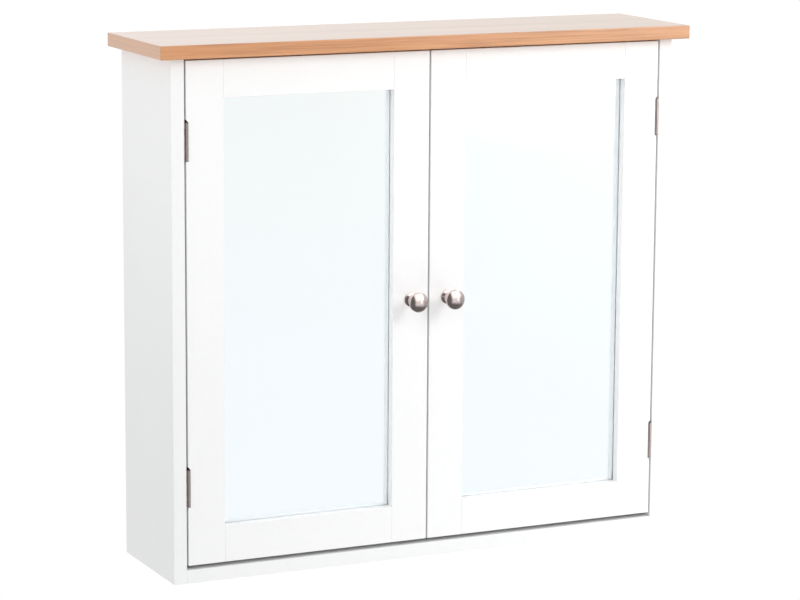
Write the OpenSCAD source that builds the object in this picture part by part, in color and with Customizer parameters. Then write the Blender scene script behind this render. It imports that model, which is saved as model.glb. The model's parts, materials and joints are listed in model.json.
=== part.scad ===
// Hanging wall cabinet with two mirror doors, a wood-effect top board,
// butt hinges, round knobs, magnetic catches and two adjustable shelves.
// Frame: the origin is midway between the two wall screw holes, on the wall
// plane. The back lies on y = 0, the doors face -Y, +X is to the right, +Z is up.
// All dimensions are in millimetres.

/* [Cabinet] */
// Overall width, across the top board
overall_w = 600; // [560:5:800]
// Overall height, from the underside of the bottom board to the top surface
overall_h = 551; // [520:1:800]
// Depth of the carcass, from the wall to the face of the doors
carcass_d = 140; // [135:1:240]
// Thickness of the side, bottom and hanging boards
board_t = 14; // [14:0.5:18]
// Thickness of the back panel
back_t = 3; // [3:0.5:5]

/* [Top board] */
// Thickness of the top board
top_t = 14; // [14:0.5:22]
// How far the top board stands past each side
top_side_overhang = 15; // [2:1:30]
// How far the top board stands past the doors
top_front_overhang = 12; // [4:1:30]

/* [Doors] */
// Thickness of the door frames
door_t = 16; // [16:0.5:19]
// Width of the door stiles
stile_w = 40; // [36:1:60]
// Width of the door rails
rail_w = 38.5; // [38:0.5:60]
// Gap beside and between the doors
door_gap = 2; // [2:0.1:3]
// Gap under the doors
door_gap_bottom = 4.5; // [2:0.5:8]
// Gap over the doors
door_gap_top = 2.5; // [2:0.5:6]
// Depth of the mirror face behind the face of the frame
mirror_recess = 9.5; // [8:0.5:10]
// Thickness of the mirror glass
mirror_t = 2; // [1.5:0.5:2.5]
// Thickness of the board behind the mirror
backing_t = 2.5; // [2:0.5:3]

/* [Shelves] */
// Thickness of the shelves
shelf_t = 12; // [10:1:16]
// Height of the lower shelf's underside over the bottom of the cabinet
lower_shelf_z = 184; // [120:1:220]
// Height of the upper shelf's underside over the bottom of the cabinet
upper_shelf_z = 356; // [300:1:380]

/* [Hinges] */
// Length of each hinge
hinge_len = 38; // [30:1:50]
// Distance from the end of the door to the end of the hinge
hinge_inset = 62; // [50:1:90]
// Radius of the hinge barrel
barrel_r = 1.7; // [1.5:0.05:1.8]
// Radius of the hinge pin
hinge_pin_r = 0.8; // [0.6:0.05:0.8]

/* [Knobs] */
// Radius of the knob's head
knob_r = 10.5; // [9:0.5:14]
// How far the knob stands out from the door
knob_len = 26; // [24:0.5:32]

/* [Wall fixing] */
// Distance between the two wall screw holes
screw_spacing = 400; // [300:5:420]
// Radius of the wall screw holes
screw_hole_r = 3; // [2.5:0.25:3.5]
// Distance of the wall screw holes below the top board
screw_drop = 30; // [24:1:34]
// Height of the hanging rail
rail_h = 60; // [56:1:80]

/* [Hidden] */
$fn = 48;

// carcass
cw = overall_w - 2 * top_side_overhang;   // outside width of the carcass
ch = overall_h - top_t;                   // height of the carcass
iw = cw / 2 - board_t;                    // half the inside width
front = -carcass_d;                       // plane of the door faces
z_base = screw_drop - ch;                 // bottom of the carcass in the frame
reb_w = 7;                                // width of the rebate for the back
mid = iw + board_t / 2;                   // middle of a side board

// joints of the carcass: 12 mm cams, their bolts and 6 mm dowels
cam_r = 6;
cam_h = 11;
cam_set = 24;                             // distance from the joint to the cam
cam_y = [front + 35, -35];
dowel_r = 3;
dowel_y = [front + 15, front + 70];
rail_dowel_z = [ch - 15, ch - 45];

// shelves and their pins
shelf_pin_r = 2.5;
shelf_hx = iw - 2;                        // half the length of a shelf
shelf_front = front + 24;
shelf_back = -back_t - 1;
pin_y = [front + 40, -30];
pin_pitch = 32;

// doors, described on the left side and mirrored to the right
door_x0 = -iw + door_gap;                 // hinge edge
door_x1 = -door_gap / 2;                  // meeting edge
door_z0 = board_t + door_gap_bottom;
door_z1 = ch - door_gap_top;
open_x0 = door_x0 + stile_w;              // sight opening for the mirror
open_x1 = door_x1 - stile_w;
open_z0 = door_z0 + rail_w;
open_z1 = door_z1 - rail_w;
reb = 8;                                  // rebate that holds the mirror
back_face = front + door_t;               // inner face of the door
mirror_y = front + mirror_recess;
backing_y = mirror_y + mirror_t;
pins_y = backing_y + backing_t + 0.6;
joint_z = [door_z0 + 8, door_z0 + 21, door_z1 - 21, door_z1 - 8];
knob_x = (open_x1 + door_x1) / 2;
knob_z = (door_z0 + door_z1) / 2;

// hinges
axis_x = door_x0 + 0.1;                   // hinge axis of the left door
edge = door_x0 - axis_x;                  // edge of the door, from the axis
leaf_t = 0.95;
leaf_d = 14.5;
side_face = -iw - axis_x;                 // inner face of the side, from the axis
knuckle = hinge_len / 6;
knuckle_gap = 0.3;
low_hinge_z = door_z0 + hinge_inset + hinge_len / 2;
high_hinge_z = door_z1 - hinge_inset - hinge_len / 2;
leaf_screw_z = [-hinge_len * 0.29, hinge_len * 0.29];
leaf_screw_y = 8.8;

// magnetic catches
catch_x = open_x1 - 29;
catch_y = back_face + 1.5;

oak = "burlywood";
white = "white";
nickel = "silver";
zinc = "lightsteelblue";

module block(x0, x1, y0, y1, z0, z1)
  translate([x0, y0, z0]) cube([x1 - x0, y1 - y0, z1 - z0]);
module rod_x(x0, x1, y, z, r)
  translate([x0, y, z]) rotate([0, 90, 0]) cylinder(r = r, h = x1 - x0);
module rod_y(x, y0, y1, z, r)
  translate([x, y0, z]) rotate([-90, 0, 0]) cylinder(r = r, h = y1 - y0);
module rod_z(x, y, z0, z1, r)
  translate([x, y, z0]) cylinder(r = r, h = z1 - z0);
// puts a piece drawn from the bottom of the carcass into the frame
module place() translate([0, 0, z_base]) children();
// draws a piece as drawn on the left and again mirrored on the right
module both() { children(); mirror([1, 0, 0]) children(); }
module right_hand() mirror([1, 0, 0]) children();

// ---------------------------------------------------------------- carcass

module top_board() color(oak) place() difference() {
  block(-overall_w / 2, overall_w / 2, front - top_front_overhang, 0, ch, ch + top_t);
  both() {
    for (y = cam_y) rod_z(-mid, y, ch - 1, ch + 10, 2.5);
    for (y = dowel_y) rod_z(-mid, y, ch - 1, ch + 10, dowel_r + 0.05);
    for (dx = [-16, 16]) rod_z(catch_x + dx, catch_y + 9, ch - 1, ch + 10, 1.25);
  }
}

module side_board() difference() {
  block(-cw / 2, -iw, front, 0, 0, ch);
  // rebate for the back panel
  block(-iw - reb_w, -iw + 1, -back_t, 1, -1, ch + 1);
  // three heights for each shelf
  for (s = [lower_shelf_z, upper_shelf_z], i = [-1, 0, 1], y = pin_y)
    rod_x(-iw - 9.5, -iw + 1, y, s - shelf_pin_r + i * pin_pitch, shelf_pin_r + 0.05);
  // cams and dowels under the top board
  for (y = cam_y) {
    rod_x(-iw - cam_h - 0.2, -iw + 1, y, ch - cam_set, cam_r + 0.05);
    rod_z(-mid, y, ch - cam_set, ch + 1, 2.6);
  }
  for (y = dowel_y) rod_z(-mid, y, ch - 14.5, ch + 1, dowel_r + 0.05);
  // bolts and dowels of the bottom board
  for (y = cam_y) rod_x(-iw - 10, -iw + 1, y, board_t / 2, 2.5);
  for (y = dowel_y) rod_x(-iw - 10, -iw + 1, y, board_t / 2, dowel_r + 0.05);
  // dowels of the hanging rail
  for (z = rail_dowel_z) rod_x(-iw - 10, -iw + 1, -back_t - board_t / 2, z, dowel_r + 0.05);
  // pilot holes for the hinge screws
  for (h = [low_hinge_z, high_hinge_z], z = leaf_screw_z)
    rod_x(-iw - 9.5, -iw + 1, front + leaf_screw_y, h + z, 1.25);
}
module left_side() color(white) place() side_board();
module right_side() color(white) right_hand() place() side_board();

module bottom_board() color(white) place() difference() {
  block(-iw, iw, front, -back_t, 0, board_t);
  both() {
    for (y = cam_y) {
      rod_z(-iw + cam_set, y, -1, cam_h + 0.2, cam_r + 0.05);
      rod_x(-iw - 1, -iw + cam_set, y, board_t / 2, 2.6);
    }
    for (y = dowel_y) rod_x(-iw - 1, -iw + 14.5, y, board_t / 2, dowel_r + 0.05);
  }
}

module back_panel() color(white) place() difference() {
  block(-iw - reb_w + 0.5, iw + reb_w - 0.5, -back_t, 0, 0, ch - 0.5);
  for (s = [-1, 1])
    rod_y(s * screw_spacing / 2, -back_t - 1, 1, ch - screw_drop, screw_hole_r);
}

module hanging_rail() color(white) place() difference() {
  block(-iw, iw, -back_t - board_t, -back_t, ch - rail_h, ch);
  for (s = [-1, 1])
    rod_y(s * screw_spacing / 2, -back_t - board_t - 1, 1, ch - screw_drop, screw_hole_r);
  both() for (z = rail_dowel_z)
    rod_x(-iw - 1, -iw + 14.5, -back_t - board_t / 2, z, dowel_r + 0.05);
}

module shelf(z) place()
  block(-shelf_hx, shelf_hx, shelf_front, shelf_back, z, z + shelf_t);
module shelf_upper() color(white) shelf(upper_shelf_z);
module shelf_lower() color(white) shelf(lower_shelf_z);

// one shelf pin: a peg in the side, a collar and a peg under the shelf
module shelf_pin() {
  cylinder(r = shelf_pin_r, h = 17, center = false);
  translate([0, 0, 9]) cylinder(r = 4, h = 1.2);
}
module shelf_pins() color(zinc) place() both()
  for (s = [lower_shelf_z, upper_shelf_z], y = pin_y)
    translate([-iw - 9, y, s - shelf_pin_r]) rotate([0, 90, 0]) shelf_pin();

// one cam: its face lies on z = 0, and the bolt comes in along +Y
module cam() difference() {
  cylinder(r = cam_r, h = cam_h);
  translate([0, 0, 7]) rotate([-90, 0, 0]) cylinder(r = 2.4, h = cam_r + 1);
  translate([0, -3, 7]) rotate([-90, 0, 0]) cylinder(r = 3.3, h = 6);
  for (a = [45, 135]) rotate([0, 0, a]) translate([-3, -0.6, -1]) cube([6, 1.2, 2.6]);
}
module cam_locks() color(zinc) place() both() for (y = cam_y) {
  translate([-iw, y, ch - cam_set]) rotate([90, 0, -90]) cam();
  translate([-iw + cam_set, y, 0]) rotate([0, 0, 90]) cam();
}

// one cam bolt: head at the origin, threaded end along +Z
module cam_bolt() {
  translate([0, 0, -2.9]) cylinder(r = 3.2, h = 4.4);
  cylinder(r = 2.2, h = cam_set);
  translate([0, 0, cam_set]) cylinder(r = 2.45, h = 9.5);
}
module cam_bolts() color(nickel) place() both() for (y = cam_y) {
  translate([-mid, y, ch - cam_set]) cam_bolt();
  translate([-iw + cam_set, y, board_t / 2]) rotate([0, -90, 0]) cam_bolt();
}

module carcass_dowels() color("tan") place() both() {
  for (y = dowel_y) {
    rod_z(-mid, y, ch - 14, ch + 9.5, dowel_r);
    rod_x(-iw - 9.5, -iw + 14, y, board_t / 2, dowel_r);
  }
  for (z = rail_dowel_z) rod_x(-iw - 9.5, -iw + 14, -back_t - board_t / 2, z, dowel_r);
}

// nails that hold the back panel, driven in flush
module back_nail(x, z) {
  rod_y(x, -14, 0, z, 0.7);
  rod_y(x, -0.5, 0, z, 1.6);
}
module back_nails() color(zinc) place() {
  both() for (i = [0 : 4]) back_nail(-iw - 3.5, 40 + i * (ch - 90) / 4);
  for (i = [-2 : 2]) back_nail(i * iw * 0.44, board_t / 2);
}

// ---------------------------------------------------------------- catches

module catch_body() place() difference() {
  union() {
    block(catch_x - 11, catch_x + 11, catch_y, catch_y + 18, ch - 14, ch);
    block(catch_x - 20, catch_x + 20, catch_y + 2, catch_y + 16, ch - 2.5, ch);
  }
  block(catch_x - 9, catch_x + 9, catch_y - 1, catch_y + 15, ch - 12.5, ch - 4.5);
  for (dx = [-16, 16]) rod_z(catch_x + dx, catch_y + 9, ch - 4, ch + 1, 1.5);
}
module catch_magnet() place()
  block(catch_x - 8.9, catch_x + 8.9, catch_y - 0.4, catch_y + 14.9, ch - 12.4, ch - 4.6);
module left_catch_body() color("gainsboro") catch_body();
module right_catch_body() color("gainsboro") right_hand() catch_body();
module left_catch_magnet() color("dimgray") catch_magnet();
module right_catch_magnet() color("dimgray") right_hand() catch_magnet();
module catch_screws() color(nickel) place() both() for (dx = [-16, 16]) {
  rod_z(catch_x + dx, catch_y + 9, ch - 4.1, ch - 2.5, 2.6);
  rod_z(catch_x + dx, catch_y + 9, ch - 3, ch + 9.5, 1.2);
}

// ---------------------------------------------------------------- hinges

// draws a hinge piece of the left door, from the middle of the hinge axis
module hinge_at(h) place() translate([axis_x, front, h]) children();

// a countersunk hole or screw body: its face is at x = 0, and it goes along +X
module countersunk(r_head, r, sink, len) rotate([0, 90, 0]) {
  cylinder(r1 = r_head, r2 = r, h = sink);
  cylinder(r = r, h = len);
}

// a wood screw for the hinge leaves, with a crossed recess
module leaf_screw() difference() {
  union() {
    countersunk(2.15, 1.2, leaf_t, 7.5);
    translate([7.5, 0, 0]) rotate([0, 90, 0]) cylinder(r1 = 1.2, r2 = 0.3, h = 2);
  }
  for (a = [0, 90]) rotate([a, 0, 0]) translate([-0.2, -1.1, -0.22]) cube([0.7, 2.2, 0.44]);
}

module barrel(first, r, shrink)
  for (i = [first : 2 : 5]) translate([0, 0, hinge_len / 2 - (i + 1) * knuckle + shrink])
    cylinder(r = r, h = knuckle - 2 * shrink);

module side_leaf() difference() {
  union() {
    translate([side_face, 0, -hinge_len / 2]) cube([leaf_t, leaf_d, hinge_len]);
    barrel(0, barrel_r, knuckle_gap / 2);
  }
  barrel(1, barrel_r + 0.35, -knuckle_gap / 2);
  translate([0, 0, -hinge_len]) cylinder(r = hinge_pin_r + 0.01, h = 2 * hinge_len);
  for (z = leaf_screw_z) translate([side_face + leaf_t, leaf_screw_y, z])
    rotate([0, 0, 180]) countersunk(2.2, 1.25, leaf_t, 3);
}

module door_leaf() difference() {
  union() {
    translate([edge - leaf_t, 0.9, -hinge_len / 2]) cube([leaf_t, leaf_d - 0.9, hinge_len]);
    barrel(1, barrel_r, knuckle_gap / 2);
  }
  barrel(0, barrel_r + 0.35, -knuckle_gap / 2);
  translate([0, 0, -hinge_len]) cylinder(r = hinge_pin_r + 0.05, h = 2 * hinge_len);
  for (z = leaf_screw_z) translate([edge - leaf_t, leaf_screw_y, z])
    countersunk(2.2, 1.25, leaf_t, 3);
}

module hinge_pin() {
  cylinder(r = hinge_pin_r, h = hinge_len + 0.2, center = true);
  for (s = [-1, 1]) translate([0, 0, s * (hinge_len / 2 + 0.25)])
    cylinder(r = barrel_r - 0.4, h = 0.5, center = true);
}

module left_upper_side_leaf() color(nickel) hinge_at(high_hinge_z) side_leaf();
module left_lower_side_leaf() color(nickel) hinge_at(low_hinge_z) side_leaf();
module right_upper_side_leaf() color(nickel) right_hand() hinge_at(high_hinge_z) side_leaf();
module right_lower_side_leaf() color(nickel) right_hand() hinge_at(low_hinge_z) side_leaf();
module left_upper_hinge_pin() color(nickel) hinge_at(high_hinge_z) hinge_pin();
module left_lower_hinge_pin() color(nickel) hinge_at(low_hinge_z) hinge_pin();
module right_upper_hinge_pin() color(nickel) right_hand() hinge_at(high_hinge_z) hinge_pin();
module right_lower_hinge_pin() color(nickel) right_hand() hinge_at(low_hinge_z) hinge_pin();
module side_leaf_screws() color(nickel) both()
  for (h = [low_hinge_z, high_hinge_z], z = leaf_screw_z)
    hinge_at(h) translate([side_face + leaf_t, leaf_screw_y, z])
      rotate([0, 0, 180]) leaf_screw();

// ---------------------------------------------------------------- doors

module mirror_rebate()
  block(open_x0 - reb, open_x1 + reb, mirror_y, back_face + 1, open_z0 - reb, open_z1 + reb);

// room in the front edge of the stile for the hinge barrel, and a deep chisel cut
// over it that tapers off to the edge of the door
module barrel_notch() {
  cylinder(r = barrel_r + 0.5, h = hinge_len + 1.6, center = true);
  rotate([-90, 0, 0]) translate([0, 0, -1]) linear_extrude(height = 9)
    polygon([[edge - 1, -hinge_len / 2], [barrel_r + 0.2, -hinge_len / 2],
             [barrel_r + 0.2, -hinge_len / 2 - 0.9], [edge - 1, -hinge_len / 2 - 4.2]]);
  translate([edge - 1, -1, -hinge_len / 2 - 0.8]) cube([barrel_r + 1, 9, 1]);
}

module stile_dowel_holes(x0, x1)
  for (z = joint_z) rod_x(x0, x1, front + 7.5, z, dowel_r + 0.05);

module hinge_stile() difference() {
  place() block(door_x0, open_x0, front, back_face, door_z0, door_z1);
  place() mirror_rebate();
  place() stile_dowel_holes(open_x0 - 15.5, open_x0 + 1);
  for (h = [low_hinge_z, high_hinge_z]) hinge_at(h) {
    barrel_notch();
    for (z = leaf_screw_z) translate([-1, leaf_screw_y, z])
      rotate([0, 90, 0]) cylinder(r = 1.25, h = 10);
  }
  place() backing_pin_holes();
}

module meeting_stile() place() difference() {
  block(open_x1, door_x1, front, back_face, door_z0, door_z1);
  mirror_rebate();
  stile_dowel_holes(open_x1 - 1, open_x1 + 15.5);
  rod_y(knob_x, front - 1, back_face + 1, knob_z, 2.1);
  backing_pin_holes();
}

module rail(z0, z1) place() difference() {
  block(open_x0, open_x1, front, back_face, z0, z1);
  mirror_rebate();
  stile_dowel_holes(open_x0 - 1, open_x0 + 15.5);
  stile_dowel_holes(open_x1 - 15.5, open_x1 + 1);
  backing_pin_holes();
  // screw of the strike plate, only in the top rail
  rod_y(catch_x, back_face - 8.5, back_face + 1, strike_z, 1.25);
}

module door_dowels() place() for (z = joint_z) {
  rod_x(open_x0 - 15, open_x0 + 15, front + 7.5, z, dowel_r);
  rod_x(open_x1 - 15, open_x1 + 15, front + 7.5, z, dowel_r);
}

module mirror_glass() place()
  block(open_x0 - reb + 1, open_x1 + reb - 1, mirror_y, mirror_y + mirror_t,
        open_z0 - reb + 1, open_z1 + reb - 1);
module mirror_backing() place()
  block(open_x0 - reb + 1, open_x1 + reb - 1, backing_y, backing_y + backing_t,
        open_z0 - reb + 1, open_z1 + reb - 1);

// small pins driven into the rebate behind the backing
backing_pin_z = [open_z0 + 30, (open_z0 + open_z1) / 2 - 60, (open_z0 + open_z1) / 2 + 60,
                 open_z1 - 30];
module backing_pin_set(r) {
  for (z = backing_pin_z) {
    rod_x(open_x0 - reb - 7, open_x0 - reb + 6, pins_y, z, r);
    rod_x(open_x1 + reb - 6, open_x1 + reb + 7, pins_y, z, r);
  }
  for (x = [open_x0 + 45, open_x1 - 45]) {
    rod_z(x, pins_y, open_z0 - reb - 7, open_z0 - reb + 6, r);
    rod_z(x, pins_y, open_z1 + reb - 6, open_z1 + reb + 7, r);
  }
}
module backing_pin_holes() backing_pin_set(0.65);
module backing_pins() place() backing_pin_set(0.6);

// round knob with a blind threaded hole. Its outline, as [radius, distance from the
// door], is a rounded flange, a waist, a rounded rim and a dome tangent to the rim
rim_r = 3;
rim_y = knob_len - 6;
dome_r = (pow(knob_r - rim_r, 2) + 36 - rim_r * rim_r) / (2 * (6 - rim_r));
dome_a = atan2(rim_y - knob_len + dome_r, knob_r - rim_r);
waist_y = 9;
neck_y = rim_y - rim_r * sin(75);
neck_r = knob_r - rim_r + rim_r * cos(75);
knob_outline = concat(
  [[0, 0], [6.9, 0]],
  [for (a = [-50 : 25 : 75]) [6.3 + 1.1 * cos(a), 1.1 + 1.1 * sin(a)]],
  [for (i = [0 : 6]) let (y = 2.6 + (waist_y - 2.6) * i / 6)
    [4 + 2.2 * pow((waist_y - y) / (waist_y - 2.6), 4), y]],
  [for (i = [1 : 9]) let (y = waist_y + (neck_y - waist_y) * i / 10)
    [4 + (neck_r - 4) * pow((y - waist_y) / (neck_y - waist_y), 5.5), y]],
  [for (a = [-75 : 15 : 30]) [knob_r - rim_r + rim_r * cos(a), rim_y + rim_r * sin(a)]],
  [for (i = [0 : 6]) let (a = dome_a + (90 - dome_a) * i / 6)
    [dome_r * cos(a), knob_len - dome_r + dome_r * sin(a)]]);
module knob() place() translate([knob_x, front, knob_z]) rotate([90, 0, 0]) difference() {
  rotate_extrude() polygon([for (p = knob_outline) [max(p[0], 0), p[1]]]);
  translate([0, 0, -1]) cylinder(r = 2.05, h = 13);
}
module knob_screw() place() difference() {
  union() {
    rod_y(knob_x, front - 10, back_face + 1, knob_z, 2);
    rod_y(knob_x, back_face, back_face + 2.4, knob_z, 4);
  }
  for (a = [0, 90]) translate([knob_x, back_face + 1.2, knob_z]) rotate([0, a, 0])
    translate([-2, 0, -0.4]) cube([4, 2, 0.8]);
}

// steel plate that the magnet holds, on the back of the top rail
strike_z = door_z1 - 6;
module strike_plate() place() difference() {
  block(catch_x - 9, catch_x + 9, back_face, back_face + 0.9, door_z1 - 11.5, door_z1 - 0.5);
  translate([catch_x, back_face + 0.9, strike_z]) rotate([90, 0, 0])
    cylinder(r1 = 2.2, r2 = 1.35, h = 0.9);
}
module strike_screw() place() translate([catch_x, back_face + 0.9, strike_z]) rotate([90, 0, 0])
  difference() {
    union() {
      cylinder(r1 = 2.1, r2 = 1.2, h = 0.85);
      cylinder(r = 1.2, h = 9);
    }
    for (a = [0, 90]) rotate([0, 0, a]) translate([-1.1, -0.22, -0.2]) cube([2.2, 0.44, 0.6]);
  }

module leaf_screws() for (h = [low_hinge_z, high_hinge_z], z = leaf_screw_z)
  hinge_at(h) translate([edge - leaf_t, leaf_screw_y, z]) leaf_screw();

module left_hinge_stile() color(white) hinge_stile();
module left_meeting_stile() color(white) meeting_stile();
module left_top_rail() color(white) rail(open_z1, door_z1);
module left_bottom_rail() color(white) rail(door_z0, open_z0);
module left_door_dowels() color("tan") door_dowels();
module left_mirror() color("lightcyan") mirror_glass();
module left_mirror_backing() color("peru") mirror_backing();
module left_backing_pins() color(zinc) backing_pins();
module left_knob() color(nickel) knob();
module left_knob_screw() color(zinc) knob_screw();
module left_strike_plate() color(zinc) strike_plate();
module left_strike_screw() color(nickel) strike_screw();
module left_upper_door_leaf() color(nickel) hinge_at(high_hinge_z) door_leaf();
module left_lower_door_leaf() color(nickel) hinge_at(low_hinge_z) door_leaf();
module left_leaf_screws() color(nickel) leaf_screws();

module right_hinge_stile() color(white) right_hand() hinge_stile();
module right_meeting_stile() color(white) right_hand() meeting_stile();
module right_top_rail() color(white) right_hand() rail(open_z1, door_z1);
module right_bottom_rail() color(white) right_hand() rail(door_z0, open_z0);
module right_door_dowels() color("tan") right_hand() door_dowels();
module right_mirror() color("lightcyan") right_hand() mirror_glass();
module right_mirror_backing() color("peru") right_hand() mirror_backing();
module right_backing_pins() color(zinc) right_hand() backing_pins();
module right_knob() color(nickel) right_hand() knob();
module right_knob_screw() color(zinc) right_hand() knob_screw();
module right_strike_plate() color(zinc) right_hand() strike_plate();
module right_strike_screw() color(nickel) right_hand() strike_screw();
module right_upper_door_leaf() color(nickel) right_hand() hinge_at(high_hinge_z) door_leaf();
module right_lower_door_leaf() color(nickel) right_hand() hinge_at(low_hinge_z) door_leaf();
module right_leaf_screws() color(nickel) right_hand() leaf_screws();

top_board();
left_side();
right_side();
bottom_board();
back_panel();
hanging_rail();
shelf_upper();
shelf_lower();
shelf_pins();
cam_locks();
cam_bolts();
carcass_dowels();
back_nails();
left_catch_body();
left_catch_magnet();
right_catch_body();
right_catch_magnet();
catch_screws();
left_upper_side_leaf();
left_lower_side_leaf();
right_upper_side_leaf();
right_lower_side_leaf();
left_upper_hinge_pin();
left_lower_hinge_pin();
right_upper_hinge_pin();
right_lower_hinge_pin();
side_leaf_screws();
left_hinge_stile();
left_meeting_stile();
left_top_rail();
left_bottom_rail();
left_door_dowels();
left_mirror();
left_mirror_backing();
left_backing_pins();
left_knob();
left_knob_screw();
left_strike_plate();
left_strike_screw();
left_upper_door_leaf();
left_lower_door_leaf();
left_leaf_screws();
right_hinge_stile();
right_meeting_stile();
right_top_rail();
right_bottom_rail();
right_door_dowels();
right_mirror();
right_mirror_backing();
right_backing_pins();
right_knob();
right_knob_screw();
right_strike_plate();
right_strike_screw();
right_upper_door_leaf();
right_lower_door_leaf();
right_leaf_screws();
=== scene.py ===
import bpy, bmesh, json, math
from mathutils import Vector, Matrix


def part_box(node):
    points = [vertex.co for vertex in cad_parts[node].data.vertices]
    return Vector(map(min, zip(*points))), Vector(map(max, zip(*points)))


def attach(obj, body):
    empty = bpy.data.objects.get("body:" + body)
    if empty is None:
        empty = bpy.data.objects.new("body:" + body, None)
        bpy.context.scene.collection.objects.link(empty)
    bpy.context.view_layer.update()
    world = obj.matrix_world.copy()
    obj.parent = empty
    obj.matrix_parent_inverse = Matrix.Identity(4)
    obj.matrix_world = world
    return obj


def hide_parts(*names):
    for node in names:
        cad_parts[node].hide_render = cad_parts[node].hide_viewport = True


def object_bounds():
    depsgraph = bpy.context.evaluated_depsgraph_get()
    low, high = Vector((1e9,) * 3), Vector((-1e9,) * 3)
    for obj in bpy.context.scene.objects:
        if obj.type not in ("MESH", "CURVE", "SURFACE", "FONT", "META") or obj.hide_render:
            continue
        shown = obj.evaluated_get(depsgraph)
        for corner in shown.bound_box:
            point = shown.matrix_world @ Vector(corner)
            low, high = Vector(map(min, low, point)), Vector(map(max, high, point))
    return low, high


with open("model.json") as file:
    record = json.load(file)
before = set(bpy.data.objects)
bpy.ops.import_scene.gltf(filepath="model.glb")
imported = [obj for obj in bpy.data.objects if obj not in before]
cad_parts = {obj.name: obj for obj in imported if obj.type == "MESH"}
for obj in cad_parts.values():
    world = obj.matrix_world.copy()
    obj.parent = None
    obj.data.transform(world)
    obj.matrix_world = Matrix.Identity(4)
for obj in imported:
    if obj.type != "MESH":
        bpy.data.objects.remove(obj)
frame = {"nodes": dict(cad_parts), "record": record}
cad_lo, cad_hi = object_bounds()
NODES = frame["nodes"]
BODY_OF = {}
for body, members in frame["record"]["behaviour"]["bodies"].items():
    for m in members:
        BODY_OF[m] = body
SLOT_OF = {s["node"]: s["material_slot"] for s in frame["record"]["subparts"]}
scene = bpy.context.scene


# ------------------------------------------------------------------ node helpers

def new_material(name):
    m = bpy.data.materials.new(name)
    m.use_nodes = True
    t = m.node_tree
    t.nodes.clear()
    out = t.nodes.new("ShaderNodeOutputMaterial")
    return m, t, out


def add(t, kind, **inputs):
    n = t.nodes.new(kind)
    for k, v in inputs.items():
        n.inputs[k.replace("_", " ")].default_value = v
    return n


def link(t, a, b):
    t.links.new(a, b)


def coords(t, scale=(1, 1, 1), rot=(0, 0, 0), loc=(0, 0, 0)):
    tc = t.nodes.new("ShaderNodeTexCoord")
    mp = t.nodes.new("ShaderNodeMapping")
    mp.inputs["Scale"].default_value = scale
    mp.inputs["Rotation"].default_value = rot
    mp.inputs["Location"].default_value = loc
    link(t, tc.outputs["Object"], mp.inputs["Vector"])
    return mp.outputs["Vector"]


def noise(t, vec, scale, detail=2.0, rough=0.5, distortion=0.0):
    n = t.nodes.new("ShaderNodeTexNoise")
    n.inputs["Scale"].default_value = scale
    n.inputs["Detail"].default_value = detail
    n.inputs["Roughness"].default_value = rough
    n.inputs["Distortion"].default_value = distortion
    link(t, vec, n.inputs["Vector"])
    return n.outputs["Fac"]


def ramp(t, fac, stops):
    r = t.nodes.new("ShaderNodeValToRGB")
    e = r.color_ramp.elements
    while len(e) < len(stops):
        e.new(0.5)
    for i, (p, c) in enumerate(stops):
        e[i].position = p
        e[i].color = (*c, 1) if len(c) == 3 else c
    link(t, fac, r.inputs["Fac"])
    return r.outputs["Color"]


def maprange(t, fac, a, b, c, d):
    m = t.nodes.new("ShaderNodeMapRange")
    m.inputs["From Min"].default_value = a
    m.inputs["From Max"].default_value = b
    m.inputs["To Min"].default_value = c
    m.inputs["To Max"].default_value = d
    link(t, fac, m.inputs["Value"])
    return m.outputs["Result"]


def math_node(t, op, a, b):
    m = t.nodes.new("ShaderNodeMath")
    m.operation = op
    for i, v in enumerate((a, b)):
        if isinstance(v, (int, float)):
            m.inputs[i].default_value = v
        else:
            link(t, v, m.inputs[i])
    return m.outputs[0]


def mix_rgb(t, fac, a, b, mode="MIX"):
    m = t.nodes.new("ShaderNodeMix")
    m.data_type = "RGBA"
    m.blend_type = mode
    if isinstance(fac, (int, float)):
        m.inputs[0].default_value = fac
    else:
        link(t, fac, m.inputs[0])
    for i, v in ((6, a), (7, b)):
        if isinstance(v, tuple):
            m.inputs[i].default_value = (*v, 1) if len(v) == 3 else v
        else:
            link(t, v, m.inputs[i])
    return m.outputs[2]


def bump(t, height, strength, distance, normal=None):
    b = t.nodes.new("ShaderNodeBump")
    b.inputs["Strength"].default_value = strength
    b.inputs["Distance"].default_value = distance
    link(t, height, b.inputs["Height"])
    if normal is not None:
        link(t, normal, b.inputs["Normal"])
    return b.outputs["Normal"]


def principled(t, out):
    p = t.nodes.new("ShaderNodeBsdfPrincipled")
    link(t, p.outputs[0], out.inputs["Surface"])
    return p


# ------------------------------------------------------------------ materials

def white_sheet(name, tone, var, rough, peel, grain_axis=None):
    """White foil or paint on fibreboard: faint tone drift, orange-peel skin, fine dust-scale grain."""
    m, t, out = new_material(name)
    p = principled(t, out)
    v = coords(t)
    big = noise(t, v, 5.0, 3.0, 0.55)
    fine = noise(t, v, 260.0, 3.0, 0.6)
    lo = tuple(c - var for c in tone)
    base = ramp(t, big, [(0.3, lo), (0.7, tone)])
    speck = ramp(t, fine, [(0.25, (0.985, 0.985, 0.982)), (0.6, (1, 1, 1))])
    link(t, mix_rgb(t, 1.0, base, speck, "MULTIPLY"), p.inputs["Base Color"])
    link(t, maprange(t, fine, 0.3, 0.7, rough - 0.05, rough + 0.06), p.inputs["Roughness"])
    skin = noise(t, v, 650.0, 2.0, 0.5)
    wave = noise(t, v, 90.0, 2.0, 0.5)
    n1 = bump(t, skin, 0.35, peel)
    n2 = bump(t, wave, 0.3, peel * 1.6, n1)
    link(t, n2, p.inputs["Normal"])
    p.inputs["IOR"].default_value = 1.46
    return m


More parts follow.
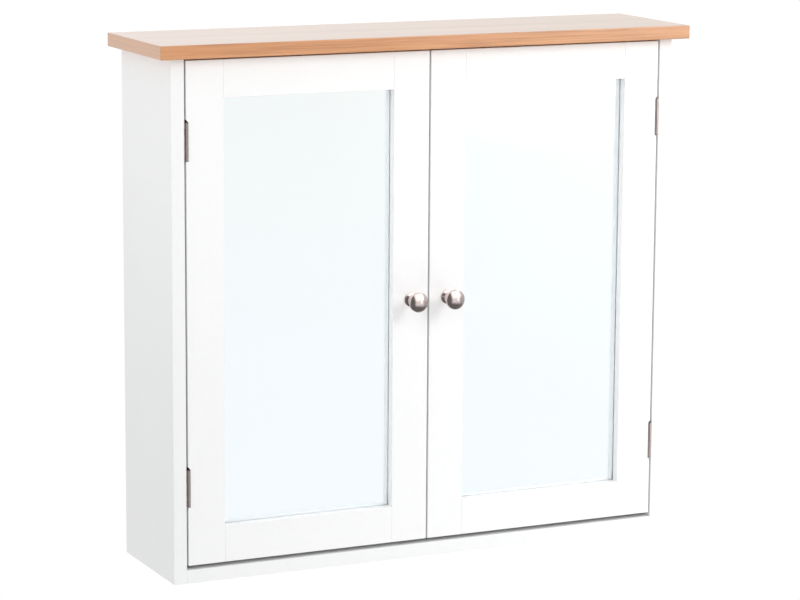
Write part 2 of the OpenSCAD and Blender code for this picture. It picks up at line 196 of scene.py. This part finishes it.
def oak_foil():
    """Printed oak foil: long straight grain along X, darker pore lines, broad tonal bands, satin skin."""
    m, t, out = new_material("oak_foil")
    p = principled(t, out)
    v = coords(t, scale=(1, 1, 1))
    # slow wander of the grain, so that the lines aren't ruled
    warp = noise(t, coords(t, scale=(2.2, 9, 9)), 1.0, 2.0, 0.5)
    def stretched(sx, s, seed):
        tc = t.nodes.new("ShaderNodeTexCoord")
        mp = t.nodes.new("ShaderNodeMapping")
        mp.inputs["Scale"].default_value = (sx, s, s)
        mp.inputs["Location"].default_value = (seed, seed * 1.7, seed * 0.6)
        comb = t.nodes.new("ShaderNodeCombineXYZ")
        link(t, math_node(t, "MULTIPLY", math_node(t, "SUBTRACT", warp, 0.5), 0.012), comb.inputs[1])
        link(t, math_node(t, "MULTIPLY", math_node(t, "SUBTRACT", warp, 0.5), 0.009), comb.inputs[2])
        addv = t.nodes.new("ShaderNodeVectorMath")
        addv.operation = "ADD"
        link(t, tc.outputs["Object"], addv.inputs[0])
        link(t, comb.outputs[0], addv.inputs[1])
        link(t, addv.outputs[0], mp.inputs["Vector"])
        return mp.outputs["Vector"]
    bands = noise(t, stretched(1.1, 26, 3.1), 1.0, 2.0, 0.5)
    rings = noise(t, stretched(2.0, 150, 7.3), 1.0, 3.0, 0.6)
    fibre = noise(t, stretched(5.5, 620, 1.9), 1.0, 4.0, 0.65)
    pores = noise(t, stretched(16.0, 1250, 11.7), 1.0, 2.0, 0.5)
    base = ramp(t, bands, [(0.30, OAK_DARK), (0.52, OAK_MID), (0.72, OAK_LIGHT)])
    ring = ramp(t, rings, [(0.36, (0.80, 0.76, 0.70)), (0.56, (1, 1, 1)), (0.72, (1.0, 1.0, 1.0))])
    c = mix_rgb(t, 0.62, base, mix_rgb(t, 1.0, base, ring, "MULTIPLY"))
    fib = ramp(t, fibre, [(0.30, (0.80, 0.77, 0.72)), (0.55, (1.0, 1.0, 1.0)), (0.75, (1.05, 1.05, 1.04))])
    c = mix_rgb(t, 0.65, c, mix_rgb(t, 1.0, c, fib, "MULTIPLY"))
    streak = noise(t, stretched(9.0, 430, 5.2), 1.0, 3.0, 0.6)
    c = mix_rgb(t, 1.0, c, ramp(t, streak, [(0.34, (0.81, 0.76, 0.70)), (0.52, (1.0, 1.0, 1.0)), (0.70, (1.09, 1.13, 1.20))]), "MULTIPLY")
    por = ramp(t, pores, [(0.27, (0.62, 0.55, 0.47)), (0.36, (1, 1, 1))])
    c = mix_rgb(t, 0.55, c, mix_rgb(t, 1.0, c, por, "MULTIPLY"))
    # the two ends are edged with the same foil, its grain running front to back, and toned darker and greyer as
    # painted shade
    tcn = t.nodes.new("ShaderNodeTexCoord")
    sn = t.nodes.new("ShaderNodeSeparateXYZ")
    link(t, tcn.outputs["Normal"], sn.inputs[0])
    ends = maprange(t, math_node(t, "ABSOLUTE", sn.outputs[0], 0.0), 0.6, 0.9, 0.0, 1.0)
    marks = noise(t, coords(t, scale=(30, 9, 700)), 1.0, 4.0, 0.65)
    end_mid_shaded = (0.87 * OAK_MID[0], 0.92 * OAK_MID[1], 1.08 * OAK_MID[2])
    end_grain_and_shade = ramp(t, marks, [(0.30, tuple(0.80 * k for k in end_mid_shaded)), (0.50, end_mid_shaded), (0.72, tuple(1.13 * k for k in end_mid_shaded))])
    c = mix_rgb(t, ends, c, end_grain_and_shade)
    link(t, c, p.inputs["Base Color"])
    link(t, maprange(t, fibre, 0.3, 0.7, 0.36, 0.46), p.inputs["Roughness"])
    h = math_node(t, "ADD", math_node(t, "MULTIPLY", pores, 0.7), math_node(t, "MULTIPLY", fibre, 0.5))
    n1 = bump(t, h, 0.25, 0.00010)
    link(t, n1, p.inputs["Normal"])
    link(t, bump(t, fibre, 0.10, 0.00005), p.inputs["Coat Normal"])
    p.inputs["IOR"].default_value = 1.5
    p.inputs["Coat Weight"].default_value = 1.0
    p.inputs["Coat Roughness"].default_value = 0.16
    p.inputs["Coat IOR"].default_value = 1.5
    p.inputs["Sheen Weight"].default_value = 0.5
    p.inputs["Sheen Roughness"].default_value = 0.35
    p.inputs["Sheen Tint"].default_value = (1.0, 0.98, 0.97, 1)
    return m


def metal(name, base, rough, brushed=0.0, spots=0.02):
    m, t, out = new_material(name)
    p = principled(t, out)
    p.inputs["Metallic"].default_value = 1.0
    v = coords(t)
    cloud = noise(t, v, 70.0, 3.0, 0.6)
    dark = tuple(c * 0.93 for c in base)
    link(t, ramp(t, cloud, [(0.3, dark), (0.68, base)]), p.inputs["Base Color"])
    fine = noise(t, v, 2200.0, 2.0, 0.6)
    link(t, maprange(t, fine, 0.25, 0.75, rough - 0.04, rough + 0.05), p.inputs["Roughness"])
    link(t, bump(t, fine, 0.12 + brushed, 0.00002), p.inputs["Normal"])
    return m


def plain_wood(name, dark, light, axis_scale):
    m, t, out = new_material(name)
    p = principled(t, out)
    g = noise(t, coords(t, scale=axis_scale), 1.0, 4.0, 0.6)
    link(t, ramp(t, g, [(0.3, dark), (0.7, light)]), p.inputs["Base Color"])
    link(t, maprange(t, g, 0.3, 0.7, 0.62, 0.78), p.inputs["Roughness"])
    link(t, bump(t, g, 0.3, 0.0002), p.inputs["Normal"])
    return m


def plastic(name, tone):
    m, t, out = new_material(name)
    p = principled(t, out)
    v = coords(t)
    g = noise(t, v, 900.0, 3.0, 0.6)
    link(t, ramp(t, noise(t, v, 30.0), [(0.3, tuple(c * 0.97 for c in tone)), (0.7, tone)]), p.inputs["Base Color"])
    link(t, maprange(t, g, 0.3, 0.7, 0.42, 0.55), p.inputs["Roughness"])
    link(t, bump(t, g, 0.3, 0.00005), p.inputs["Normal"])
    return m


def mirror_glass():
    m, t, out = new_material("mirror_float_glass")
    p = principled(t, out)
    p.inputs["Base Color"].default_value = (0.985, 0.995, 0.994, 1)
    p.inputs["Roughness"].default_value = 0.0
    p.inputs["IOR"].default_value = 1.5
    p.inputs["Transmission Weight"].default_value = 1.0
    v = coords(t)
    link(t, bump(t, noise(t, v, 9.0, 1.0), 0.05, 0.00002), p.inputs["Normal"])
    return m


def mirror_silver():
    m, t, out = new_material("mirror_silver")
    p = principled(t, out)
    p.inputs["Metallic"].default_value = 1.0
    v = coords(t)
    link(t, ramp(t, noise(t, v, 6.0, 2.0), [(0.3, (0.930, 0.962, 0.985)), (0.7, (0.940, 0.966, 0.988))]),
         p.inputs["Base Color"])
    p.inputs["Roughness"].default_value = 0.015
    return m


OAK_DARK = (0.555, 0.238, 0.090)
OAK_MID = (0.655, 0.303, 0.124)
OAK_LIGHT = (0.73, 0.374, 0.170)

MAT = {
    "white_board": white_sheet("white_board_foil", (0.875, 0.880, 0.885), 0.014, 0.42, 0.00004),
    "white_door": white_sheet("white_door_paint", (0.895, 0.898, 0.900), 0.010, 0.36, 0.00005),
    "white_hardboard": white_sheet("white_back_sheet", (0.83, 0.83, 0.82), 0.02, 0.55, 0.00006),
    "brown_hardboard": plain_wood("brown_hardboard", (0.15, 0.085, 0.045), (0.24, 0.145, 0.08), (240, 240, 240)),
    # near-black painted shade for the inside of the hinge notches
    "notch_painted_shade": plain_wood("notch_painted_shade", (0.045, 0.032, 0.028), (0.075, 0.055, 0.048), (300, 300, 300)),
    "oak_foil": oak_foil(),
    "satin_nickel": metal("satin_nickel", (0.70, 0.605, 0.588), 0.13),
    "hinge_nickel": metal("hinge_nickel", (0.41, 0.342, 0.325), 0.26, 0.05),
    # a lighter copy of the hinge metal for the right-hand hinges: painted light for the brighter light on that side
    "hinge_nickel_painted_light": metal("hinge_nickel_painted_light", (0.70, 0.61, 0.59), 0.24, 0.05),
    "zinc_steel": metal("zinc_steel", (0.62, 0.63, 0.65), 0.32),
    "cast_zinc": metal("cast_zinc", (0.50, 0.51, 0.53), 0.42, 0.1),
    "dowel_wood": plain_wood("dowel_beech", (0.52, 0.35, 0.20), (0.66, 0.47, 0.29), (60, 400, 400)),
    "white_plastic": plastic("white_plastic", (0.80, 0.80, 0.78)),
    "magnet": metal("ferrite_magnet", (0.05, 0.05, 0.055), 0.55, 0.2),
    "mirror_glass": mirror_glass(),
}
SILVER = mirror_silver()
BACK_PAINT = plain_wood("mirror_back_paint", (0.24, 0.25, 0.26), (0.30, 0.31, 0.32), (300, 300, 300))


def dress(obj, *mats):
    obj.data.materials.clear()
    for m in mats:
        obj.data.materials.append(m)


# every CAD node gets its slot's material first
for name, obj in NODES.items():
    dress(obj, MAT[SLOT_OF[name]])


# ------------------------------------------------------------------ refined pieces

def smooth(me, angle=35):
    for p in me.polygons:
        p.use_smooth = True
    me.set_sharp_from_angle(angle=math.radians(angle))


def weighted(obj):
    w = obj.modifiers.new("weighted", "WEIGHTED_NORMAL")
    w.keep_sharp = True
    w.weight = 90


def finish_piece(obj, node, *mats, also=()):
    dress(obj, *(mats or (MAT[SLOT_OF[node]],)))
    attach(obj, BODY_OF[node])
    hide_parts(node, *also)
    return obj


def refine(node, radius, segments=3, min_len=0.003, pick=None, mats=(), painted_shade_faces=None):
    """The CAD node's own shape, with its long straight outer edges rounded."""
    src = NODES[node].data
    bm = bmesh.new()
    bm.from_mesh(src)
    bmesh.ops.remove_doubles(bm, verts=bm.verts, dist=2e-6)
    bmesh.ops.dissolve_limit(bm, angle_limit=math.radians(0.4), verts=bm.verts, edges=bm.edges)
    bm.normal_update()
    chosen = []
    for e in bm.edges:
        if len(e.link_faces) != 2 or e.calc_length() < min_len:
            continue
        a = e.calc_face_angle_signed(0)
        if a < math.radians(60) or a > math.radians(120):
            continue
        d = (e.verts[1].co - e.verts[0].co).normalized()
        if max(abs(d.x), abs(d.y), abs(d.z)) < 0.9999:
            continue
        if pick is not None and not pick(e.verts[0].co, e.verts[1].co):
            continue
        chosen.append(e)
    if chosen:
        bmesh.ops.bevel(bm, geom=chosen, offset=radius, offset_type="OFFSET", segments=segments,
                        profile=0.5, affect="EDGES", clamp_overlap=False)
    bmesh.ops.remove_doubles(bm, verts=bm.verts, dist=2e-6)
    bmesh.ops.recalc_face_normals(bm, faces=bm.faces)
    me = bpy.data.meshes.new(node + "_mesh")
    bm.to_mesh(me)
    bm.free()
    smooth(me)
    obj = bpy.data.objects.new(node + "_finished", me)
    scene.collection.objects.link(obj)
    weighted(obj)
    finish_piece(obj, node, *mats)
    # the notch faces get the near-black material: painted shade inside the hinge notch
    if painted_shade_faces is not None:
        me.materials.append(MAT["notch_painted_shade"])
        for poly in me.polygons:
            if painted_shade_faces(poly.center, poly.normal):
                poly.material_index = len(me.materials) - 1
    return obj


cad_front = min(v.co.y for v in NODES["left_side"].data.vertices)
PINS = {s: [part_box(f"{s}_{h}_hinge_pin") for h in ("upper", "lower")] for s in ("left", "right")}


def in_notch(s):
    """Faces of the notch for a hinge barrel, which get a near-black painted shade."""
    def test(c, n):
        if n.y < -0.9 or c.y > cad_front + 0.0094 or c.y < cad_front + 1e-5:
            return False
        for lo, hi in PINS[s]:
            if abs(c.x - (lo.x + hi.x) / 2) < 0.0034 and lo.z - 0.008 < c.z < hi.z + 0.008:
                return abs(n.x) < 0.999 or lo.z - 0.0005 < c.z < hi.z + 0.0005
        return False
    return test


for n in ("bottom_board", "hanging_rail"):
    refine(n, 0.0004)
for s in ("left", "right"):
    refine(f"{s}_side", 0.0004, painted_shade_faces=in_notch(s))
for n in ("shelf_upper", "shelf_lower"):
    refine(n, 0.0006)
refine("top_board", 0.0006)
for s in ("left", "right"):
    refine(f"{s}_hinge_stile", 0.0005, painted_shade_faces=in_notch(s))
    for n in ("meeting_stile", "top_rail", "bottom_rail"):
        refine(f"{s}_{n}", 0.0005)
    refine(f"{s}_catch_body", 0.0004, min_len=0.002)
    refine(f"{s}_strike_plate", 0.00015, 2, min_len=0.002)


def refine_leaf(node, axis_x, mats=()):
    """The CAD leaf, with the rims of its knuckles eased."""
    bm = bmesh.new()
    bm.from_mesh(NODES[node].data)
    bmesh.ops.remove_doubles(bm, verts=bm.verts, dist=2e-6)
    bmesh.ops.dissolve_limit(bm, angle_limit=math.radians(0.4), verts=bm.verts, edges=bm.edges)
    bm.normal_update()
    rims, y0 = [], cad_front
    def radius(v):
        return math.hypot(v.co.x - axis_x, v.co.y - y0)
    rim = max(radius(v) for v in bm.verts if v.co.y < y0 - 0.001)
    for e in bm.edges:
        if len(e.link_faces) != 2:
            continue
        a, b = e.verts
        if abs(a.co.z - b.co.z) > 1e-6 or e.calc_face_angle_signed(0) < math.radians(60):
            continue
        if abs(radius(a) - rim) < 4e-5 and abs(radius(b) - rim) < 4e-5 and max(a.co.y, b.co.y) < y0 + 0.0009:
            rims.append(e)
    if rims:
        bmesh.ops.bevel(bm, geom=rims, offset=0.0005, offset_type="OFFSET", segments=2,
                        profile=0.5, affect="EDGES", clamp_overlap=True)
    bmesh.ops.remove_doubles(bm, verts=bm.verts, dist=1e-6)
    bmesh.ops.recalc_face_normals(bm, faces=bm.faces)
    me = bpy.data.meshes.new(node + "_mesh")
    bm.to_mesh(me)
    bm.free()
    smooth(me, 30)
    obj = bpy.data.objects.new(node + "_finished", me)
    scene.collection.objects.link(obj)
    weighted(obj)
    return finish_piece(obj, node, *mats)


for s in ("left", "right"):
    for h in ("upper", "lower"):
        lo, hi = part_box(f"{s}_{h}_hinge_pin")
        for leaf in ("side_leaf", "door_leaf"):
            # the right-hand leaves and pins get the lighter copy of the hinge metal: painted light
            refine_leaf(f"{s}_{h}_{leaf}", (lo.x + hi.x) / 2,
                        (MAT["hinge_nickel_painted_light"],) if s == "right" else ())
        if s == "right":
            dress(NODES[f"{s}_{h}_hinge_pin"], MAT["hinge_nickel_painted_light"])


def lathe(name, profile, centre, axis_dir, segments=96):
    """Solid of revolution about an axis along -Y from centre. profile is (radius, distance from the door)."""
    bm = bmesh.new()
    rings = []
    for r, h in profile:
        if r < 1e-7:
            rings.append([bm.verts.new((0, -h, 0))])
        else:
            rings.append([bm.verts.new((r * math.cos(2 * math.pi * i / segments), -h,
                                        r * math.sin(2 * math.pi * i / segments))) for i in range(segments)])
    for a, b in zip(rings, rings[1:]):
        for i in range(segments):
            j = (i + 1) % segments
            if len(a) == 1 and len(b) == 1:
                continue
            if len(a) == 1:
                bm.faces.new((a[0], b[i], b[j]))
            elif len(b) == 1:
                bm.faces.new((a[i], b[0], a[j]))
            else:
                bm.faces.new((a[i], b[i], b[j], a[j]))
    bmesh.ops.recalc_face_normals(bm, faces=bm.faces)
    bmesh.ops.translate(bm, verts=bm.verts, vec=centre)
    me = bpy.data.meshes.new(name + "_mesh")
    bm.to_mesh(me)
    bm.free()
    smooth(me, 40)
    obj = bpy.data.objects.new(name, me)
    scene.collection.objects.link(obj)
    return obj


def arc(cx, cy, r, a0, a1, n):
    return [(cx + r * math.cos(math.radians(a0 + (a1 - a0) * i / n)),
             cy + r * math.sin(math.radians(a0 + (a1 - a0) * i / n))) for i in range(n + 1)]


def knob_profile(R, L):
    """Millimetres: base flange with a rounded rim, waist, rounded head rim and dome, and a threaded hole."""
    rim_r, rim_y = 3.0, L - 6.0
    dome_r = ((R - rim_r) ** 2 + 36 - rim_r ** 2) / (2 * (6 - rim_r))
    dome_a = math.degrees(math.atan2(rim_y - L + dome_r, R - rim_r))
    waist_y = 9.0
    neck_y = rim_y - rim_r * math.sin(math.radians(75))
    neck_r = R - rim_r + rim_r * math.cos(math.radians(75))
    pts = [(2.05, 12.0), (2.05, 0.0), (6.9, 0.0)]
    pts += arc(6.3, 1.1, 1.1, -50, 75, 12)
    for i in range(13):
        y = 2.6 + (waist_y - 2.6) * i / 12
        pts.append((4 + 2.2 * ((waist_y - y) / (waist_y - 2.6)) ** 4, y))
    for i in range(1, 24):
        y = waist_y + (neck_y - waist_y) * i / 24
        pts.append((4 + (neck_r - 4) * ((y - waist_y) / (neck_y - waist_y)) ** 5.5, y))
    pts += arc(R - rim_r, rim_y, rim_r, -75, dome_a, 20)
    pts += arc(0, L - dome_r, dome_r, dome_a, 90, 16)[1:]
    pts[-1] = (0.0, L)
    return pts


for s in ("left", "right"):
    node = f"{s}_knob"
    lo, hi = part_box(node)
    cx, cz = (lo.x + hi.x) / 2, (lo.z + hi.z) / 2
    R, L = (hi.x - lo.x) / 2, hi.y - lo.y
    prof = [(0.0, 12.0)] + knob_profile(R * 1000 - 0.01, L * 1000 - 0.01)
    k = lathe(node + "_turned", [(r / 1000, h / 1000) for r, h in prof], Vector((cx, hi.y, cz)), None)
    finish_piece(k, node)


def box_mesh(name, lo, hi, bevel, mats, segments=2):
    bm = bmesh.new()
    bmesh.ops.create_cube(bm, size=1.0)
    c, d = (lo + hi) / 2, hi - lo
    for v in bm.verts:
        v.co = Vector((v.co.x * d.x + c.x, v.co.y * d.y + c.y, v.co.z * d.z + c.z))
    if bevel:
        bmesh.ops.bevel(bm, geom=list(bm.edges), offset=bevel, segments=segments, profile=0.5,
                        affect="EDGES", clamp_overlap=True)
    bmesh.ops.recalc_face_normals(bm, faces=bm.faces)
    me = bpy.data.meshes.new(name + "_mesh")
    bm.to_mesh(me)
    bm.free()
    obj = bpy.data.objects.new(name, me)
    scene.collection.objects.link(obj)
    dress(obj, *mats)
    return obj


# mirror: a clear sheet with ground arrises, a silver film behind it and a painted back
for s in ("left", "right"):
    node = f"{s}_mirror"
    lo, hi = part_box(node)
    g = box_mesh(node + "_glass", lo, Vector((hi.x, hi.y - 0.00018, hi.z)), 0.0003, (MAT["mirror_glass"],), 1)
    finish_piece(g, node)
    g.visible_diffuse = False        # clear glass: lets daylight through to the rebate and the frame
    g.visible_shadow = False
    inset = Vector((0.0004, 0, 0.0004))
    f = box_mesh(node + "_film", Vector((lo.x, hi.y - 0.00016, lo.z)) + inset,
                 Vector((hi.x, hi.y - 0.0001, hi.z)) - inset, 0, (SILVER,))
    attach(f, BODY_OF[node]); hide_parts(node)
    b = box_mesh(node + "_back_paint", Vector((lo.x, hi.y - 0.0001, lo.z)) + inset,
                 Vector((hi.x, hi.y, hi.z)) - inset, 0, (BACK_PAINT,))
    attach(b, BODY_OF[node]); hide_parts(node)


# ------------------------------------------------------------------ studio

cam_data = bpy.data.cameras.new("camera")
cam = bpy.data.objects.new("camera", cam_data)
scene.collection.objects.link(cam)
scene.camera = cam
F_PX, YAW, PITCH, ROLL = 3042.094, math.radians(25.4129), math.radians(10.5510), math.radians(0.3811)
CAM_AT = Vector((-1.362355, -2.797971 - 0.140, 0.853766 - 0.507))
cam_data.sensor_width = 36
cam_data.lens = F_PX * 36 / 800
cam_data.clip_start, cam_data.clip_end = 0.05, 100
fwd = Vector((math.sin(YAW) * math.cos(PITCH), math.cos(YAW) * math.cos(PITCH), -math.sin(PITCH)))
right = Vector((math.cos(YAW), -math.sin(YAW), 0))
up = right.cross(fwd)
r2 = right * math.cos(ROLL) + up * math.sin(ROLL)
u2 = -right * math.sin(ROLL) + up * math.cos(ROLL)
rot = Matrix((r2, u2, -fwd)).transposed()
cam.matrix_world = Matrix.Translation(CAM_AT) @ rot.to_4x4()

# plain pale floor, well under the cabinet; seen from below it lets the view through
FLOOR_WHITE = 1.01
bm = bmesh.new()
bmesh.ops.create_grid(bm, x_segments=1, y_segments=1, size=9)
me = bpy.data.meshes.new("floor")
bm.to_mesh(me)
bm.free()
floor = bpy.data.objects.new("floor", me)
floor.location = (0, 0, cad_lo.z - 0.45)
scene.collection.objects.link(floor)
m, t, out = new_material("floor")
d = add(t, "ShaderNodeBsdfDiffuse")
d.inputs["Color"].default_value = (0.93, 0.93, 0.93, 1)
tr = add(t, "ShaderNodeBsdfTransparent")
geo = t.nodes.new("ShaderNodeNewGeometry")
em = add(t, "ShaderNodeEmission", Strength=FLOOR_WHITE)
lpf = t.nodes.new("ShaderNodeLightPath")
seen = t.nodes.new("ShaderNodeMixShader")
link(t, lpf.outputs["Is Camera Ray"], seen.inputs[0])
link(t, d.outputs[0], seen.inputs[1])
link(t, em.outputs[0], seen.inputs[2])
mx = t.nodes.new("ShaderNodeMixShader")
link(t, geo.outputs["Backfacing"], mx.inputs[0])
link(t, seen.outputs[0], mx.inputs[1])
link(t, tr.outputs[0], mx.inputs[2])
link(t, mx.outputs[0], out.inputs["Surface"])
floor.data.materials.append(m)
floor.visible_glossy = False
floor.visible_transmission = False

# studio dome: white to the eye, with a brighter back and softer sides as the light that the cabinet gets
world = bpy.data.worlds.new("studio")
scene.world = world
world.use_nodes = True
wt = world.node_tree
wt.nodes.clear()
wout = wt.nodes.new("ShaderNodeOutputWorld")
tc = wt.nodes.new("ShaderNodeTexCoord")
sep = wt.nodes.new("ShaderNodeSeparateXYZ")
link(wt, tc.outputs["Generated"], sep.inputs[0])
X, Y, Z = sep.outputs
DOME, SWEEP = 0.644, 0.92


def soft(x, a, b, hi):
    mr = wt.nodes.new("ShaderNodeMapRange")
    mr.interpolation_type = "SMOOTHSTEP"
    mr.inputs["From Min"].default_value = a
    mr.inputs["From Max"].default_value = b
    mr.inputs["To Min"].default_value = 0
    mr.inputs["To Max"].default_value = hi
    link(wt, x, mr.inputs["Value"])
    return mr.outputs[0]


def minus(x):
    return math_node(wt, "MULTIPLY", x, -1.0)


def background(colour, strength):
    n = wt.nodes.new("ShaderNodeBackground")
    for k, v in (("Color", colour), ("Strength", strength)):
        if isinstance(v, tuple):
            n.inputs[k].default_value = (*v, 1)
        elif isinstance(v, (int, float)):
            n.inputs[k].default_value = v
        else:
            link(wt, v, n.inputs[k])
    return n.outputs[0]


def toward(x, y, z):
    """Cosine of the angle between the ray and a direction."""
    v = Vector((x, y, z)).normalized()
    d = wt.nodes.new("ShaderNodeVectorMath")
    d.operation = "DOT_PRODUCT"
    link(wt, tc.outputs["Generated"], d.inputs[0])
    d.inputs[1].default_value = v
    return d.outputs["Value"]


# what matt surfaces get: a soft dome, brightest in front on the left, a little dimmer at the back
even = math_node(wt, "ADD", DOME, soft(toward(-0.88, -0.45, 0.12), 0.2, 0.95, 0.56))
even = math_node(wt, "SUBTRACT", even, soft(Y, 0.0, 0.8, 0.20))
even = math_node(wt, "ADD", even, soft(Z, 0.0, 1.0, 0.06))
lp = wt.nodes.new("ShaderNodeLightPath")
glass = math_node(wt, "GREATER_THAN", lp.outputs["Transmission Depth"], 0.5)
# what polished surfaces reflect: a white sweep behind, softboxes over and in front, a dim room left and low
g = math_node(wt, "ADD", 0.16, soft(Y, 0.05, 0.45, SWEEP - 0.16))
g = math_node(wt, "MULTIPLY", g, math_node(wt, "SUBTRACT", 1.0, soft(X, 0.34, 0.50, 0.14)))
front = math_node(wt, "ADD", 0.17, soft(Z, -0.72, -0.26, 0.83))
front = math_node(wt, "ADD", front, math_node(wt, "MULTIPLY", soft(Z, -0.08, 0.50, 0.75),
                                                math_node(wt, "SUBTRACT", 1.0, glass)))
box = math_node(wt, "MULTIPLY", soft(X, 0.425, 0.50, 4.0), soft(Z, -0.135, -0.085, 1.0))
box = math_node(wt, "MULTIPLY", box, math_node(wt, "SUBTRACT", 1.0, soft(X, 0.53, 0.62, 1.0)))
box = math_node(wt, "MULTIPLY", box, math_node(wt, "SUBTRACT", 1.0, soft(Z, -0.04, 0.06, 1.0)))
glow = math_node(wt, "MULTIPLY", soft(X, 0.40, 0.47, 0.07), soft(Z, -0.22, -0.11, 1.0))
box = math_node(wt, "ADD", box, glow)
front = math_node(wt, "MULTIPLY", front, math_node(wt, "ADD", math_node(wt, "ADD", 1.0, soft(X, 0.36, 0.56, 0.05)), box))
front = math_node(wt, "MULTIPLY", front, math_node(wt, "SUBTRACT", 1.0, soft(X, 0.60, 0.88, 0.50)))
side = math_node(wt, "ADD", 0.04, soft(X, -0.62, -0.18, 0.96))
side = math_node(wt, "MAXIMUM", side, glass)     # the dim room is for the metal; a mirror sees white walls
front = math_node(wt, "MULTIPLY", front, side)
front = math_node(wt, "MULTIPLY", front, math_node(wt, "SUBTRACT", 1.0, soft(Y, -0.10, 0.30, 0.85)))
g = math_node(wt, "MAXIMUM", g, front)
cool = mix_rgb(wt, soft(minus(Z), 0.09, 0.24, 1.0), (1.0, 0.990, 0.962), (1.008, 1.014, 1.028))
# daylight that a mirror throws onto the frame round it
even = math_node(wt, "MULTIPLY", even, math_node(wt, "ADD", 1.0, math_node(wt, "MULTIPLY", lp.outputs["Is Glossy Ray"], 1.6)))
# the polished-surface surroundings only count while the path has met no matt surface
first = math_node(wt, "MULTIPLY", lp.outputs["Is Glossy Ray"],
                  math_node(wt, "LESS_THAN", lp.outputs["Diffuse Depth"], 0.5))
m1 = wt.nodes.new("ShaderNodeMixShader")
link(wt, first, m1.inputs[0])
link(wt, background((1.0, 1.0, 1.0), even), m1.inputs[1])
link(wt, background(cool, g), m1.inputs[2])
mxs = wt.nodes.new("ShaderNodeMixShader")
link(wt, lp.outputs["Is Camera Ray"], mxs.inputs[0])
link(wt, m1.outputs[0], mxs.inputs[1])
link(wt, background((1.0, 1.0, 1.0), 1.05), mxs.inputs[2])
link(wt, mxs.outputs[0], wout.inputs["Surface"])


def area(name, at, target, size, energy, colour=(1, 1, 1)):
    l = bpy.data.lights.new(name, "AREA")
    l.shape = "RECTANGLE"
    l.size, l.size_y = size
    l.energy = energy
    l.color = colour
    o = bpy.data.objects.new(name, l)
    o.location = at
    o.rotation_mode = "QUATERNION"
    o.rotation_quaternion = (Vector(at) - Vector(target)).to_track_quat("Z", "Y")
    scene.collection.objects.link(o)
    return o


area("key", (1.0, -1.3, 0.62), (0, -0.14, -0.2), (0.7, 0.7), 10.6, (1, 0.997, 0.993))
low = area("low_fill", (0.55, -0.62, -0.78), (0.1, -0.14, -0.42), (0.3, 0.3), 0.68, (1, 1, 1))
low.visible_glossy = False
corner = area("corner", (-1.5, -0.60, 0.10), (-0.29, -0.07, 0.04), (0.3, 0.3), 0.115, (1, 1, 1))
corner.data.spread = math.radians(34)
corner.visible_glossy = False
for o in (low, corner):
    o.visible_transmission = False       # not seen in the mirrors

scene.view_settings.view_transform = "Standard"
scene.view_settings.look = "None"
scene.view_settings.exposure = 0
scene.view_settings.gamma = 1
